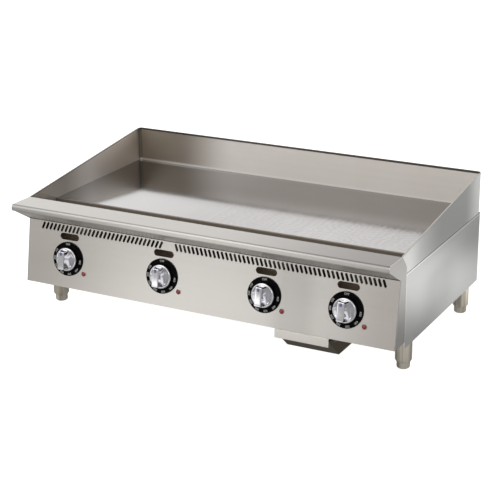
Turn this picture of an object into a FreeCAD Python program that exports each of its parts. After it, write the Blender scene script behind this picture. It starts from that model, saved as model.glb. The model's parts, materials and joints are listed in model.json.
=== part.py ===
import FreeCAD, Part
import os
from math import sin, cos, pi, radians, atan2, degrees, sqrt

V = FreeCAD.Vector
os.makedirs("parts", exist_ok=True)

# ---------------------------------------------------------------------------
# Countertop gas griddle, 48 in wide, four thermostat zones.
# Working frame while drawing: x = 0 left outer side .. W right outer side,
# y = 0 front edge of the side panels (+y to the back), z = 0 bottom edge of
# the side panels.  Everything is moved at export, so that the origin is at
# the middle of the bounding box's bottom face and the feet stand on z = 0.
# ---------------------------------------------------------------------------
W = 1219.0            # overall width (48 in)
D = 600.0             # side panel depth, front edge to back
T = 1.5               # sheet thickness of the body (16 gauge)
TS = 2.5              # sheet thickness of the splash guard
G = 0.3               # gap between neighbouring pieces

Z_SEAM = 222.0        # top edge of the side panels
Z_PLATE = 238.0       # cooking surface
PLATE_T = 25.4        # griddle plate, 1 in
Z_SPLASH = 350.0      # top of the back splash
Y_PLATE = 100.0       # front edge of the plate

Y_NOSE = -124.0       # front of the bull nose
Z_NOSE = 280.0        # top of the bull nose at the front
Z_NBACK = 279.0       # top of the bull nose at its back edge
Y_NBACK = -33.0
Y_NUNDER, Z_NUNDER = -116.0, 259.0

Y_PB, Z_PB = -70.0, 20.0     # control panel face, bottom edge
Y_PT, Z_PT = -38.0, 212.0    # control panel face, top edge

LEG_H = 86.0          # floor to the side panels' bottom edge
LEG_R = 24.0
FOOT_R = 19.0
FOOT_H = 20.0
LEG_IN = 27.5         # leg centre from the outer side
LEG_Y = (66.0, 534.0)

KNOB_X = (148.0, 479.0, 815.0, 1067.0)
KNOB_H = 90.0         # height up the panel face
BEZEL_R = 52.0
BEZEL_T = 5.0
KNOB_R = 36.0
KNOB_T = 35.0         # knob height above the bezel
GRIP_W, GRIP_L = 21.0, 58.0   # bar grip across the knob
SHAFT_R = 3.0
LIGHT_DX, LIGHT_H = 58.0, 52.0
PORT_W, PORT_HT, PORT_H = 67.0, 20.0, 157.5
VENT_PITCH = 13.85
VENT_L0, VENT_LN = 53.3, 31
VENT_R0, VENT_RN = 521.5, 48
VENT_R, VENT_LO, VENT_HI, VENT_LEAN = 3.8, 173.6, 188.4, 3.0

DRW_X0, DRW_X1 = 856.0, 1023.0
DRW_ZB = -57.0        # bottom of the grease drawer
DRW_ZT = 8.4          # rim of the grease drawer
DRW_BACK = 300.0
PAN_Z = 18.3          # underside of the bottom pan

BURN_C = (152.4, 457.2, 761.8, 1066.6)   # zone centres
BURN_OFF = 75.0
BURN_Z = 128.0
BURN_R = 15.0
MAN_R = 13.35         # 3/4 in pipe, 26.7 mm outside
MAN_Y, MAN_Z = -22.0, 52.0
INLET_X = 1175.0
INLET_OUT = 34.0      # inlet nipple beyond the back edge

SHIFT_Y = -(Y_NOSE + (D + INLET_OUT)) / 2.0


# ---------------------------------------------------------------------------
def box(x0, x1, y0, y1, z0, z1):
    return Part.makeBox(x1 - x0, y1 - y0, z1 - z0, V(x0, y0, z0))


def cyl(r, h, p, d):
    return Part.makeCylinder(r, h, V(*p), V(*d))


def prism_x(pts, x0, x1):
    """Closed (y, z) outline extruded from x0 to x1."""
    w = Part.makePolygon([V(x0, y, z) for y, z in pts] + [V(x0, pts[0][0], pts[0][1])])
    return Part.Face(w).extrude(V(x1 - x0, 0, 0))


def wire_x(items, x):
    """Outline from ('L', p) points and ('A', mid, end) arcs in the plane x."""
    edges, cur, first = [], None, None
    for it in items:
        if it[0] == 'L':
            p = V(x, *it[1])
            if cur is None:
                first = p
            elif (p - cur).Length > 1e-6:
                edges.append(Part.LineSegment(cur, p).toShape())
            cur = p
        else:
            m, e = V(x, *it[1]), V(x, *it[2])
            edges.append(Part.Arc(cur, m, e).toShape())
            cur = e
    if (cur - first).Length > 1e-6:
        edges.append(Part.LineSegment(cur, first).toShape())
    return Part.Wire(edges)


# local frame of the tilted control panel: (X, H, N) -> along x, up the face,
# out of the face
PL = sqrt((Y_PT - Y_PB) ** 2 + (Z_PT - Z_PB) ** 2)
PV = V(0, (Y_PT - Y_PB) / PL, (Z_PT - Z_PB) / PL)
PN = V(0, -PV.z, PV.y)
TILT = degrees(atan2(PV.y, PV.z))


def on_panel(shape, X, H, N=0.0):
    """Place a shape drawn with z out of the panel and y up the panel."""
    m = FreeCAD.Matrix(1, 0, 0, X,
                       0, PV.y, PN.y, Y_PB + PV.y * H + PN.y * N,
                       0, PV.z, PN.z, Z_PB + PV.z * H + PN.z * N,
                       0, 0, 0, 1)
    s = shape.copy()
    s.transformShape(m)
    return s


def stadium(w, h, t0, t1):
    """Flat slot, w long along x and h high, from z = t0 to t1."""
    r = h / 2.0
    a = w / 2.0 - r
    e = [Part.LineSegment(V(-a, -r, t0), V(a, -r, t0)).toShape(),
         Part.Arc(V(a, -r, t0), V(a + r, 0, t0), V(a, r, t0)).toShape(),
         Part.LineSegment(V(a, r, t0), V(-a, r, t0)).toShape(),
         Part.Arc(V(-a, r, t0), V(-a - r, 0, t0), V(-a, -r, t0)).toShape()]
    return Part.Face(Part.Wire(e)).extrude(V(0, 0, t1 - t0))


def lean_slot(r, x0, y0, x1, y1, t0, t1):
    """Slot with round ends from (x0, y0) to (x1, y1)."""
    L = sqrt((x1 - x0) ** 2 + (y1 - y0) ** 2)
    ux, uy = (x1 - x0) / L, (y1 - y0) / L
    nx, ny = -uy, ux
    p = [V(x0 + nx * r, y0 + ny * r, t0), V(x0 - ux * r, y0 - uy * r, t0),
         V(x0 - nx * r, y0 - ny * r, t0), V(x1 - nx * r, y1 - ny * r, t0),
         V(x1 + ux * r, y1 + uy * r, t0), V(x1 + nx * r, y1 + ny * r, t0)]
    e = [Part.Arc(p[0], p[1], p[2]).toShape(), Part.LineSegment(p[2], p[3]).toShape(),
         Part.Arc(p[3], p[4], p[5]).toShape(), Part.LineSegment(p[5], p[0]).toShape()]
    return Part.Face(Part.Wire(e)).extrude(V(0, 0, t1 - t0))


nodes = {}


def add(name, shape):
    if name in nodes:
        raise RuntimeError(name)
    nodes[name] = shape


# ---------------------------------------------------------------------------
# cooking plate and splash guard
# ---------------------------------------------------------------------------
plate = box(TS + G, W - TS - G, Y_PLATE, D - TS - G, Z_PLATE - PLATE_T, Z_PLATE)
front_edges = [e for e in plate.Edges
               if abs(e.BoundBox.YMax - Y_PLATE) < 1e-6 and abs(e.BoundBox.ZMin - Z_PLATE) < 1e-6]
plate = plate.makeFillet(2.0, front_edges)
corner_edges = [e for e in plate.Edges
                if abs(e.BoundBox.YMin - (D - TS - G)) < 1e-6 and e.BoundBox.ZLength > 10]
plate = plate.makeFillet(11.2, corner_edges)
add("griddle_plate", plate)

slope = (Z_SPLASH - Z_NBACK) / (D - Y_NBACK)
side_prof = [(0, Z_SEAM), (D, Z_SEAM), (D, Z_SPLASH), (Y_NBACK, Z_NBACK), (-7.0, 251.0), (0, 239.0)]
HEM = 4.5
hem_prof = [(D, Z_SPLASH), (Y_NBACK + 4.0, Z_NBACK + 4.0 * slope),
            (Y_NBACK + 4.0 + 4.0, Z_NBACK + 4.0 * slope - 4.5), (D, Z_SPLASH - HEM)]
BEND = 14.0              # outside radius of the two back corners


def tray(inset, y_back, r, z0, z1):
    """Block open to the front with its two back corners rounded."""
    blk = box(inset, W - inset, -80.0, y_back, z0, z1)
    ed = [e for e in blk.Edges
          if abs(e.BoundBox.YMin - y_back) < 1e-6 and e.BoundBox.ZLength > 10]
    return blk.makeFillet(r, ed)


shell = tray(0.0, D, BEND, Z_SEAM, Z_SPLASH)
walls = shell.cut(tray(TS, D - TS, BEND - TS, Z_SEAM - 1, Z_SPLASH + 1)).common(prism_x(side_prof, -1, W + 1))
hem = shell.cut(tray(4.5, D - 4.5, BEND - 4.5, Z_SEAM - 1, Z_SPLASH + 1)).common(prism_x(hem_prof, -1, W + 1))
splash = walls.fuse(hem).removeSplitter()
add("splash_guard", splash)

# ---------------------------------------------------------------------------
# bull nose, its two end plates, grease trough and chute
# ---------------------------------------------------------------------------
def nose_outline(x, off):
    """Bull nose section; off = 0 outside skin, off = wall inside skin."""
    o = off
    yb, zb = Y_NBACK - o, Z_NBACK - o
    zt = Z_NOSE - o
    yf = Y_NOSE + o
    R = 9.0 - min(o, 6.0)
    # underside direction from the nose to the top of the panel
    dy, dz = (Y_PT + 1.0) - Y_NUNDER, (Z_PT + G + 1.2) - Z_NUNDER
    L = sqrt(dy * dy + dz * dz)
    ny, nz = -dz / L, dy / L          # inward normal of the underside
    uy, uz = Y_NUNDER + ny * o, Z_NUNDER + nz * o
    ey, ez = Y_PT + 1.0 + ny * o, Z_PT + G + 1.2 + nz * o
    k = R * (1 - sqrt(0.5))
    return (yb, zb, zt, yf, R, k, uy, uz, ey, ez)


def nose_points(off):
    yb, zb, zt, yf, R, k, uy, uz, ey, ez = nose_outline(0, off)
    return yb, zb, zt, yf, R, k, uy, uz, ey, ez


WALL = 2.0
a = nose_points(0.0)
b = nose_points(WALL)


def nose_path(q, rev=False):
    yb, zb, zt, yf, R, k, uy, uz, ey, ez = q
    fw = [('L', (yb, zb)), ('L', (yf + R, zt)),
          ('A', (yf + k, zt - k), (yf, zt - R)),
          ('L', (yf, uz + 6.0)),
          ('A', (yf + 2.2, uz + 2.0), (uy, uz)),
          ('L', (ey, ez))]
    return fw


def reverse_path(items):
    pts = []
    cur = None
    segs = []
    for it in items:
        if it[0] == 'L':
            if cur is not None:
                segs.append(('L', cur, it[1]))
            cur = it[1]
        else:
            segs.append(('A', cur, it[1], it[2]))
            cur = it[2]
    out = [('L', cur)]
    for s in reversed(segs):
        if s[0] == 'L':
            out.append(('L', s[1]))
        else:
            out.append(('A', s[2], s[1]))
    return out


LIP = 12.0
outer = [('L', (Y_NBACK, Z_NBACK - LIP))] + nose_path(a)
inner = reverse_path(nose_path(b)) + [('L', (Y_NBACK - WALL, Z_NBACK - LIP))]
nose_wire = wire_x(outer + inner, T + G)
bullnose = Part.Face(nose_wire).extrude(V(W - 2 * (T + G), 0, 0))
add("bullnose", bullnose)

end_items = nose_path(a)
end_items = end_items[:-1] + [('L', (Y_PT, Z_PT)), ('L', (Y_PB, Z_PB)), ('L', (-G, Z_PB)),
                              ('L', (-G, 239.0)), ('L', (-7.0 - G, 250.8))]
for nm, x0 in (("left_end_plate", 0.0), ("right_end_plate", W - T)):
    s = Part.Face(wire_x(end_items, x0)).extrude(V(T, 0, 0))
    clearance = prism_x([(0, Z_SEAM - 1), (D, Z_SEAM - 1), (D, Z_SPLASH), (Y_NBACK + 0.2, Z_NBACK + 1.5),
                         (Y_NBACK - 0.2, Z_NBACK - 0.2), (-7.35, 250.7), (-G, 238.8)], x0 - 1, x0 + T + 1)
    s = s.cut(clearance)
    s = sorted(s.Solids, key=lambda q: -q.Volume)[0]
    add(nm, s)

TY0, TY1, TZB = -2.0, 99.7, 168.0     # trough bottom
tr_out = [(-30.7, 266.0), (TY0, TZB), (TY1, TZB), (TY1, Z_PLATE - PLATE_T - G)]
def offset_in(t):
    d = V(0, TY0 + 30.7, TZB - 266.0)
    d.normalize()
    n = V(0, -d.z, d.y)               # towards the inside (+y)
    # first point moved inwards, corner solved on the offset bottom line
    p0 = (-30.7 + n.y * t, 266.0 + n.z * t)
    zb = TZB + t
    s = (zb - p0[1]) / d.z
    return [(TY1 - t, Z_PLATE - PLATE_T - G), (TY1 - t, zb), (p0[0] + d.y * s, zb), p0]
trough = prism_x(tr_out + offset_in(T), TS + G, W - TS - G)
end_poly = [(-30.7, 266.0), (TY0, TZB), (TY1, TZB), (TY1, Z_PLATE - PLATE_T - G)]
trough = trough.fuse([prism_x(end_poly, TS + G, TS + G + T), prism_x(end_poly, W - TS - G - T, W - TS - G)])
CH_X0, CH_X1, CH_Y0, CH_Y1 = 886.0, 964.0, 20.0, 72.0
trough = trough.cut(box(CH_X0, CH_X1, CH_Y0, CH_Y1, TZB - 5, TZB + 5)).removeSplitter()
add("grease_trough", trough)

chute = box(CH_X0 - T, CH_X1 + T, CH_Y0 - T, CH_Y1 + T, PAN_Z - 2.3, TZB - G)
chute = chute.fuse(box(CH_X0 - 9, CH_X1 + 9, CH_Y0 - 9, CH_Y1 + 9, TZB - G - T, TZB - G))
chute = chute.cut(box(CH_X0, CH_X1, CH_Y0, CH_Y1, 0, TZB + 5)).removeSplitter()
add("grease_chute", chute)

# ---------------------------------------------------------------------------
# control panel, with vents, lighting ports, shaft holes and lamp holes
# ---------------------------------------------------------------------------
sheet = on_panel(Part.makeBox(W - 2 * (T + G), PL, T, V(0, 0, -T)), T + G, 0)
top_fl = box(T + G, W - T - G, Y_PT + 0.25, Y_PT + 18.0, Z_PT - T, Z_PT)
bot_fl = box(T + G, W - T - G, Y_PB + 0.25, Y_PB + 20.0, Z_PB, Z_PB + T)
panel = sheet.fuse([top_fl, bot_fl])
cuts = []
for i in range(VENT_LN):
    x = VENT_L0 + i * VENT_PITCH
    cuts.append(on_panel(lean_slot(VENT_R, -VENT_LEAN, VENT_LO, VENT_LEAN, VENT_HI, -T - 1, 1), x, 0))
for i in range(VENT_RN):
    x = VENT_R0 + i * VENT_PITCH
    cuts.append(on_panel(lean_slot(VENT_R, VENT_LEAN, VENT_LO, -VENT_LEAN, VENT_HI, -T - 1, 1), x, 0))
for kx in KNOB_X:
    cuts.append(on_panel(stadium(PORT_W, PORT_HT, -T - 1, 1), kx + 1.5, PORT_H))
    cuts.append(on_panel(Part.makeCylinder(6.0, 4, V(0, 0, -3)), kx, KNOB_H))
    cuts.append(on_panel(Part.makeCylinder(5.3, 4, V(0, 0, -3)), kx + LIGHT_DX, LIGHT_H))
panel = panel.cut(Part.makeCompound(cuts)).removeSplitter()
add("control_panel", panel)

# ---------------------------------------------------------------------------
# cabinet sheets
# ---------------------------------------------------------------------------
def side(x0, sgn):
    """Side panel with its front return flange; sgn = +1 flanges towards +x."""
    def bx(u0, u1, *r):
        return box(min(x0 + sgn * u0, x0 + sgn * u1), max(x0 + sgn * u0, x0 + sgn * u1), *r)
    s = bx(0, T, 0, D, 0, Z_SEAM - G)
    s = s.fuse([bx(0, 14, 0, T, 20.3, Z_SEAM - G - 58.0)])
    return s.removeSplitter()


add("left_side_panel", side(0.0, 1))
add("right_side_panel", side(W, -1))

back = box(T + G, W - T - G, D - T - G, D - G, 2.0, Z_SEAM - G)
slots = []
for i in range(22):
    x = 150.0 + i * 43.0
    slots.append(box(x, x + 30.0, D - 5, D + 5, 176.0, 182.0))
    slots.append(box(x, x + 30.0, D - 5, D + 5, 192.0, 198.0))
back = back.cut(Part.makeCompound(slots))
back = back.cut(cyl(MAN_R + 2.5, 10, (INLET_X, D - 5, MAN_Z), (0, 1, 0)))
PWR_X, PWR_Z = 1085.0, 60.0
back = back.cut(box(PWR_X - 14.2, PWR_X + 14.2, D - 5, D + 5, PWR_Z - 10.3, PWR_Z + 10.3))
add("back_panel", back)

pan = box(T + G, W - T - G, -46.0, D - T - 2 * G, PAN_Z, PAN_Z + T)
pan = pan.fuse([box(T + G, 2 * T + G, 3.0, D - 6, PAN_Z, 36.0),
                box(W - 2 * T - G, W - T - G, 3.0, D - 6, PAN_Z, 36.0),
                box(T + G, W - T - G, D - 2 * T - 2 * G, D - T - 2 * G, PAN_Z, 36.0)])
holes = [box(CH_X0 - T - 1, CH_X1 + T + 1, CH_Y0 - T - 1, CH_Y1 + T + 1, 0, 30)]
for lx in (LEG_IN, W - LEG_IN):
    for ly in LEG_Y:
        holes.append(cyl(5.5, 20, (lx, ly, 10), (0, 0, 1)))
for x0 in (0.0, W - 14.5):
    holes.append(box(x0, x0 + 14.5, -0.5, T + 0.5, 10, 30))
for i in range(10):
    for j in range(3):
        holes.append(box(120 + i * 100, 160 + i * 100, 200 + j * 110, 212 + j * 110, 10, 30))
pan = pan.cut(Part.makeCompound([h for h in holes])).removeSplitter()
add("bottom_pan", pan)

fire = box(T + 2 * G + 14, W - T - 2 * G - 14, 4.0, 4.0 + T, PAN_Z + T + G, 166.0)
fh = [cyl(18.0, 10, (c - BURN_OFF, 0, BURN_Z), (0, 1, 0)) for c in BURN_C]
fh.append(cyl(MAN_R + 2.0, 12, (INLET_X, 0, MAN_Z), (0, 1, 0)))
fh.append(box(CH_X0 - 12, CH_X1 + 12, -2, 2, 0, 5))
fire = fire.cut(Part.makeCompound(fh))
add("burner_box_front", fire)

for nm, x0, s in (("left_plate_rail", T + G, 1), ("right_plate_rail", W - T - G, -1)):
    def bx(u0, u1, *r):
        return box(min(x0 + s * u0, x0 + s * u1), max(x0 + s * u0, x0 + s * u1), *r)
    rail = bx(0, 2.5, 104.0, D - 8, 180.0, Z_PLATE - PLATE_T - G).fuse(
        bx(0, 28.0, 104.0, D - 8, Z_PLATE - PLATE_T - G - 2.5, Z_PLATE - PLATE_T - G)).removeSplitter()
    add(nm, rail)

# ---------------------------------------------------------------------------
# burners, pilots, gas train, thermostats
# ---------------------------------------------------------------------------
def tube_u(c, r):
    xa, xb, y0, y1, y2 = c - BURN_OFF, c + BURN_OFF, 10.0, 150.0, 520.0
    R = 40.0
    e = [Part.LineSegment(V(xa, y0, BURN_Z), V(xa, y2 - R, BURN_Z)).toShape(),
         Part.Arc(V(xa, y2 - R, BURN_Z), V(xa + R - R * cos(pi / 4), y2 - R + R * sin(pi / 4), BURN_Z),
                  V(xa + R, y2, BURN_Z)).toShape(),
         Part.LineSegment(V(xa + R, y2, BURN_Z), V(xb - R, y2, BURN_Z)).toShape(),
         Part.Arc(V(xb - R, y2, BURN_Z), V(xb - R + R * sin(pi / 4), y2 - R + R * cos(pi / 4), BURN_Z),
                  V(xb, y2 - R, BURN_Z)).toShape(),
         Part.LineSegment(V(xb, y2 - R, BURN_Z), V(xb, y1, BURN_Z)).toShape()]
    path = Part.Wire(e)
    prof = Part.Wire([Part.Circle(V(xa, y0, BURN_Z), V(0, 1, 0), r).toShape()])
    return path.makePipeShell([prof], True, False)


for i, c in enumerate(BURN_C):
    outer_t = tube_u(c, BURN_R)
    inner_t = tube_u(c, BURN_R - 1.5)
    cap = cyl(BURN_R, 1.5, (c + BURN_OFF, 148.5, BURN_Z), (0, 1, 0))
    bell = Part.makeCone(17.0, BURN_R, 12.0, V(c - BURN_OFF, 9.0, BURN_Z), V(0, 1, 0))
    bell = bell.cut(Part.makeCone(15.5, BURN_R - 1.5, 12.0, V(c - BURN_OFF, 9.0, BURN_Z), V(0, 1, 0)))
    s = outer_t.cut(inner_t).fuse([cap, bell])
    ports = []
    for j in range(12):
        yy = 170.0 + j * 25.0
        for xx in (c - BURN_OFF, c + BURN_OFF):
            ports.append(box(xx - 5, xx + 5, yy, yy + 1.6, BURN_Z + 8, BURN_Z + 20))
    s = s.cut(Part.makeCompound(ports)).removeSplitter()
    add("burner_%d" % (i + 1), s)

rest = box(T + G + 3.2, W - T - G - 3.2, 470.0, 496.0, BURN_Z - BURN_R - G - 2.5, BURN_Z - BURN_R - G)
rest = rest.fuse(box(T + G + 3.2, W - T - G - 3.2, 493.5, 496.0, BURN_Z - BURN_R - G - 26, BURN_Z - BURN_R - G))
add("burner_rest_bar", rest.removeSplitter())

pil = []
for c in BURN_C:
    p = cyl(4.0, 46.0, (c, 60.0, BURN_Z - 10), (0, 1, 0)).fuse(
        [cyl(6.0, 14.0, (c, 106.0, BURN_Z - 10), (0, 1, 0)), box(c - 8, c + 8, 58.0, 60.0, BURN_Z - 18, BURN_Z + 2)])
    pil.append(p.removeSplitter())
add("pilot_burners", Part.makeCompound(pil))

bulbs = []
for c in BURN_C:
    bulbs.append(cyl(4.0, 150.0, (c, 260.0, Z_PLATE - PLATE_T - G - 4.0), (0, 1, 0)))
add("sensing_bulbs", Part.makeCompound(bulbs))

man = cyl(MAN_R, 1155.0 - 40.0, (40.0, MAN_Y, MAN_Z), (1, 0, 0))
man = man.cut(cyl(MAN_R - 2.8, 1155.0 - 46.0, (46.0, MAN_Y, MAN_Z), (1, 0, 0)))
man = man.cut(Part.makeCompound([cyl(4.5, 20, (c - BURN_OFF, MAN_Y, MAN_Z + 4), (0, 0, 1)) for c in BURN_C]))
add("gas_manifold", man)

ex = 1155.3
sup = cyl(17.0, INLET_X - ex, (ex, MAN_Y, MAN_Z), (1, 0, 0)).fuse(
    [Part.makeSphere(17.0, V(INLET_X, MAN_Y, MAN_Z)),
     cyl(17.0, 22.0, (INLET_X, MAN_Y, MAN_Z), (0, 1, 0)),
     cyl(MAN_R, D + INLET_OUT - MAN_Y, (INLET_X, MAN_Y, MAN_Z), (0, 1, 0)),
     cyl(17.0, 8.0, (INLET_X, D + 1.0, MAN_Z), (0, 1, 0))])
sup = sup.cut(cyl(MAN_R - 2.8, D + INLET_OUT - MAN_Y + 1, (INLET_X, MAN_Y, MAN_Z), (0, 1, 0)))
sup = sup.cut(cyl(MAN_R - 2.8, INLET_X - ex + 1, (ex - 1, MAN_Y, MAN_Z), (1, 0, 0))).removeSplitter()
add("gas_supply_pipe", sup)

vals = []
for c in BURN_C:
    x = c - BURN_OFF
    v = box(x - 15, x + 15, -40.0, -8.0, BURN_Z - 18, BURN_Z + 14)
    v = v.fuse([cyl(6.0, 44.0, (x, MAN_Y, BURN_Z - 60), (0, 0, 1)),
                cyl(10.0, 26.0, (x, -24.0, BURN_Z + 14), (0, 0, 1)),
                cyl(5.0, 12.0, (x, -8.0, BURN_Z), (0, 1, 0))])
    v = v.cut(cyl(1.2, 20.0, (x, -14.0, BURN_Z), (0, 1, 0))).removeSplitter()
    vals.append(v)
add("gas_valves", Part.makeCompound(vals))

for i, kx in enumerate(KNOB_X):
    body = Part.makeBox(46, 50, 28, V(-23, -25, -34))
    nose = Part.makeCylinder(9.0, 4.0, V(0, 0, -6.0))
    ears = Part.makeBox(70, 16, 2.0, V(-35, -8, -3.8))
    s = body.fuse([nose, ears, Part.makeBox(12, 6, 8, V(-20, -31, -26)), Part.makeBox(12, 6, 8, V(8, -31, -26))])
    s = s.cut(Part.makeCylinder(SHAFT_R + 0.05, 26.0, V(0, 0, -24.0))).removeSplitter()
    s = s.cut(Part.makeCylinder(SHAFT_R + 0.05, 26.0, V(0, 0, -24.0)))
    add("thermostat_%d" % (i + 1), on_panel(s, kx, KNOB_H))

# ---------------------------------------------------------------------------
# dials, knobs, lamps
# ---------------------------------------------------------------------------
for i, kx in enumerate(KNOB_X):
    n = i + 1
    bz = Part.makeCylinder(BEZEL_R, BEZEL_T, V(0, 0, G))
    bz = bz.makeChamfer(1.5, [e for e in bz.Edges if abs(e.BoundBox.ZMin - (BEZEL_T + G)) < 1e-6
                              and abs(e.BoundBox.ZMax - (BEZEL_T + G)) < 1e-6])
    bz = bz.cut(Part.makeCylinder(6.5, 20, V(0, 0, -5)))
    add("bezel_%d" % n, on_panel(bz, kx, KNOB_H))

    z0 = BEZEL_T + G + 0.8
    skirt = Part.makeCone(KNOB_R, KNOB_R - 1.5, 9.0, V(0, 0, z0))
    dome = Part.makeCone(KNOB_R - 1.5, KNOB_R - 10.0, 4.0, V(0, 0, z0 + 9.0))
    grip = Part.makeBox(GRIP_W, GRIP_L, KNOB_T - 9.0, V(-GRIP_W / 2, -GRIP_L / 2, z0 + 9.0))
    ge = [e for e in grip.Edges if e.BoundBox.ZLength > 10]
    grip = grip.makeFillet(3.0, ge)
    ge = [e for e in grip.Edges if e.BoundBox.ZMin > z0 + KNOB_T - 0.01]
    grip = grip.makeChamfer(2.0, ge)
    kn = skirt.fuse([dome, grip]).removeSplitter()
    kn = kn.cut(Part.makeCylinder(SHAFT_R, 17.0, V(0, 0, z0 - 1)))
    add("knob_%d" % n, on_panel(kn, kx, KNOB_H))

    sh = Part.makeCylinder(SHAFT_R - 0.02, 16.0 + z0 - 1 + 22.0, V(0, 0, -22.0))
    add("knob_shaft_%d" % n, on_panel(sh, kx, KNOB_H))

    lp = Part.makeCylinder(5.0, 24.0, V(0, 0, -24.0 + G))
    rim = Part.makeCylinder(7.6, 1.6, V(0, 0, G))
    ball = Part.makeSphere(10.0, V(0, 0, -4.0))
    lens = ball.common(Part.makeCylinder(6.4, 12.0, V(0, 0, G + 1.0)))
    lamp = lp.fuse([rim, lens]).removeSplitter()
    add("indicator_light_%d" % n, on_panel(lamp, kx + LIGHT_DX, LIGHT_H))

# ---------------------------------------------------------------------------
# grease drawer on two rails
# ---------------------------------------------------------------------------
PX0, PX1 = DRW_X0 + 2.0, DRW_X1 - 2.0
outer_d = [(-68.0, DRW_ZT), (4.0, DRW_ZB), (DRW_BACK, DRW_ZB), (DRW_BACK, DRW_ZT)]
dd = V(0, 72.0, DRW_ZB - DRW_ZT)
dd.normalize()
dn = V(0, -dd.z, dd.y)
tp = 1.2
p0 = (-68.0 + dn.y * tp, DRW_ZT + dn.z * tp)
s0 = (DRW_ZT + 1.0 - p0[1]) / dd.z
s1 = (DRW_ZB + tp - p0[1]) / dd.z
inner_d = [(p0[0] + dd.y * s0, DRW_ZT + 1.0), (p0[0] + dd.y * s1, DRW_ZB + tp),
           (DRW_BACK - tp, DRW_ZB + tp), (DRW_BACK - tp, DRW_ZT + 1.0)]
dpan = prism_x(outer_d, PX0, PX1).fuse(
    [box(PX0 - 8.5, PX0 + 1, -40.0, DRW_BACK, DRW_ZT - 1.5, DRW_ZT),
     box(PX1 - 1, PX1 + 8.5, -40.0, DRW_BACK, DRW_ZT - 1.5, DRW_ZT)])
dpan = dpan.cut(prism_x(inner_d, PX0 + tp, PX1 - tp)).removeSplitter()
add("drawer_pan", dpan)

dfr = [(-73.0, 19.5), (-74.2, -5.2), (-71.0, -7.2), (-70.2, -6.1), (-72.6, -4.5), (-71.5, 18.0),
       (-66.0, 18.0), (-66.0, 19.5)]
front = prism_x(dfr, DRW_X0, DRW_X1)
front = front.fuse(box(DRW_X0 + 24, DRW_X1 - 24, -72.2, -67.6, 4.0, 8.0)).removeSplitter()
add("drawer_front", front)

for nm, x0, s in (("left_drawer_rail", PX0, -1), ("right_drawer_rail", PX1, 1)):
    def bx(u0, u1, *r):
        return box(min(x0 + s * u0, x0 + s * u1), max(x0 + s * u0, x0 + s * u1), *r)
    r = bx(10.0, 11.5, -44.0, DRW_BACK + 30, 3.6, PAN_Z - G).fuse(
        [bx(1.5, 11.5, -44.0, DRW_BACK + 30, 3.6, 5.1),
         bx(10.0, 24.0, -44.0, DRW_BACK + 30, PAN_Z - G - 1.5, PAN_Z - G),
         bx(1.0, 11.5, DRW_BACK + 28.5, DRW_BACK + 30, 3.6, PAN_Z - G)]).removeSplitter()
    add(nm, r)

# ---------------------------------------------------------------------------
# legs and screw-in feet
# ---------------------------------------------------------------------------
leg_names = ("front_left", "front_right", "rear_left", "rear_right")
leg_pos = [(LEG_IN, LEG_Y[0]), (W - LEG_IN, LEG_Y[0]), (LEG_IN, LEG_Y[1]), (W - LEG_IN, LEG_Y[1])]
Z_FOOT_TOP = -LEG_H + FOOT_H
nuts = []
for nm, (lx, ly) in zip(leg_names, leg_pos):
    z_top = PAN_Z - G
    zb = Z_FOOT_TOP + 0.5
    prof = [V(8.05, 0, zb), V(20.5, 0, zb), V(LEG_R, 0, zb + 6.0), V(LEG_R, 0, z_top), V(0, 0, z_top),
            V(0, 0, z_top - 8.0), V(8.05, 0, z_top - 8.0)]
    face = Part.Face(Part.makePolygon(prof + [prof[0]]))
    leg = face.revolve(V(0, 0, 0), V(0, 0, 1), 360)
    leg = leg.fuse(cyl(5.0, 20.0, (0, 0, z_top - 1), (0, 0, 1))).removeSplitter()
    leg.translate(V(lx, ly, 0))
    add("leg_" + nm, leg)
    z0 = -LEG_H
    prof = [V(0, 0, z0), V(15.0, 0, z0), V(18.0, 0, z0 + 2.2), V(FOOT_R, 0, z0 + 6.0), V(FOOT_R, 0, z0 + FOOT_H - 1.0),
            V(FOOT_R - 1.0, 0, z0 + FOOT_H), V(8.0, 0, z0 + FOOT_H), V(8.0, 0, z0 + FOOT_H + 62.0),
            V(6.5, 0, z0 + FOOT_H + 64.0), V(0, 0, z0 + FOOT_H + 64.0)]
    face = Part.Face(Part.makePolygon(prof + [prof[0]]))
    foot = face.revolve(V(0, 0, 0), V(0, 0, 1), 360)
    foot.translate(V(lx, ly, 0))
    add("foot_" + nm, foot)
    hexa = Part.makePolygon([V(lx + 9.2 * cos(radians(60 * k)), ly + 9.2 * sin(radians(60 * k)), PAN_Z + T + G)
                             for k in range(7)])
    nut = Part.Face(hexa).extrude(V(0, 0, 8.0)).cut(cyl(5.1, 12, (lx, ly, PAN_Z + T - 1), (0, 0, 1)))
    nuts.append(nut)
add("leg_nuts", Part.makeCompound(nuts))

# ---------------------------------------------------------------------------
# power inlet and the screws of the back panel
# ---------------------------------------------------------------------------
inl = box(PWR_X - 14, PWR_X + 14, D - 30, D + 0.5, PWR_Z - 10, PWR_Z + 10).fuse(
    box(PWR_X - 25, PWR_X + 25, D - G + 0.2, D + 2.6, PWR_Z - 14, PWR_Z + 14))
inl = inl.cut(box(PWR_X - 12, PWR_X + 12, D - 16, D + 5, PWR_Z - 8, PWR_Z + 8))
inl = inl.fuse([box(PWR_X + dx - 1, PWR_X + dx + 1, D - 17, D - 4, PWR_Z + dz - 2, PWR_Z + dz + 2)
                for dx, dz in ((-7, -2), (0, 2.5), (7, -2))]).removeSplitter()
add("power_inlet", inl)

scr = []
for x in (40.0, W / 2 - 140.0, W / 2 + 140.0, W - 40.0):
    for z in (30.0, 140.0):
        head = cyl(4.5, 2.2, (x, D - G + 0.05, z), (0, 1, 0))
        head = head.makeChamfer(0.8, [e for e in head.Edges if abs(e.BoundBox.YMin - (D - G + 2.25)) < 1e-6])
        scr.append(head)
add("back_panel_screws", Part.makeCompound(scr))

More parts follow.
